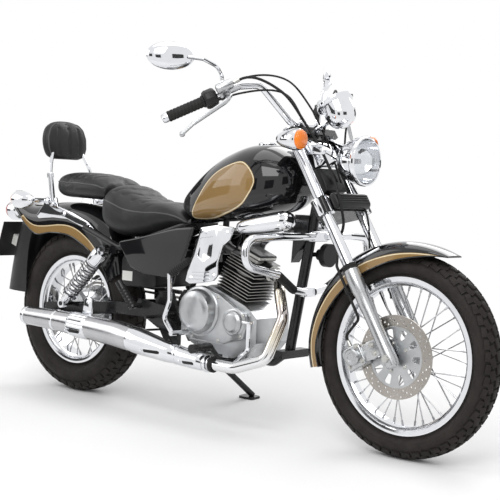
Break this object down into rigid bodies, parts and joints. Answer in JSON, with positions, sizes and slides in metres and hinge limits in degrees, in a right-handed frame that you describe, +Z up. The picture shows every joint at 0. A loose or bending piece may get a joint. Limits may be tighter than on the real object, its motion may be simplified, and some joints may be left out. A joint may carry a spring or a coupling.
{
  "type": "cruiser motorcycle",
  "caption": "Cruiser motorcycle with wire wheels, teardrop tank, stepped seats with backrest and engine guard, leaning on its side stand, with turning wheels, steering and stand.",
  "frame": {"origin": "centre of the footprint of the parked machine's box, on the floor", "axes": "+X forward, +Y to the rider's left, +Z up; the machine leans 4 degrees to the left onto its side stand"},
  "size_m": [2.2223, 0.9263, 1.2613],
  "materials": {
    "black_paint": "gloss",
    "frame_black": "satin",
    "chrome": "polished",
    "alloy": "satin",
    "dark_alloy": "matte",
    "steel": "brushed",
    "disc_steel": "brushed",
    "black_leather": "soft satin",
    "black_rubber": "matte",
    "tyre": "matte",
    "black_plastic": "matte",
    "white_plate": "satin",
    "red_lens": "gloss",
    "amber_lens": "gloss"
  },
  "bodies": {
    "chassis": {"frame_spine": "frame_black", "frame_down_tube": "frame_black", "frame_cradle": "frame_black", "seat_rails": "frame_black", "crankcase": "alloy", "engine_covers": "alloy", "engine_cylinder": "dark_alloy", "cylinder_head": "dark_alloy", "carburettor": "alloy", "air_cleaner": "chrome", "exhaust_pipe": "chrome", "silencer": "chrome", "fuel_tank": "black_paint", "rider_seat": "black_leather", "passenger_seat": "black_leather", "backrest_pad": "black_leather", "backrest_frame": "chrome", "rear_fender": "black_paint", "rear_mudguard": "black_plastic", "number_plate": "white_plate", "tail_lamp": "red_lens", "rear_signals": "amber_lens", "side_covers": "black_paint", "engine_side_plates": "chrome", "swingarm": "frame_black", "shock_absorbers": "chrome", "footrests": "black_rubber", "foot_levers": "chrome", "kick_starter": "chrome", "engine_guard": "chrome", "horn": "black_plastic", "drive_chain": "steel", "chain_guard": "black_plastic"},
    "steering": {"steering_clamps": "chrome", "fork_legs": "alloy", "front_fender": "black_paint", "headlamp": "chrome", "speedometer": "chrome", "handlebar": "chrome", "grips": "black_rubber", "hand_levers": "alloy", "mirrors": "chrome", "front_signals": "amber_lens", "brake_caliper": "alloy", "brake_hose": "black_rubber"},
    "front_wheel": {"front_tyre": "tyre", "front_rim": "chrome", "front_spokes": "chrome", "front_hub": "alloy", "brake_disc": "disc_steel"},
    "rear_wheel": {"rear_tyre": "tyre", "rear_rim": "chrome", "rear_spokes": "chrome", "rear_hub": "alloy"},
    "side_stand": {"side_stand": "frame_black"}
  },
  "joints": [
    {"name": "steering", "type": "hinge", "parent": "chassis", "child": "steering", "pos_m": [0.41639, -0.02045, 0.83749], "axis": [-0.5299, 0.0592, 0.846], "range_deg": [-36, 36]},
    {"name": "front_wheel_spin", "type": "hinge", "parent": "steering", "child": "front_wheel", "pos_m": [0.799, -0.05724, 0.31139], "axis": [0, 0.9976, -0.0698], "continuous": true},
    {"name": "rear_wheel_spin", "type": "hinge", "parent": "chassis", "child": "rear_wheel", "pos_m": [-0.653, -0.05752, 0.3074], "axis": [0, 0.9976, -0.0698], "continuous": true},
    {"name": "side_stand_fold", "type": "hinge", "parent": "chassis", "child": "side_stand", "pos_m": [-0.108, 0.04668, 0.19185], "axis": [-0.1053, 0.729, 0.6764], "range_deg": [0, 85]}
  ]
}
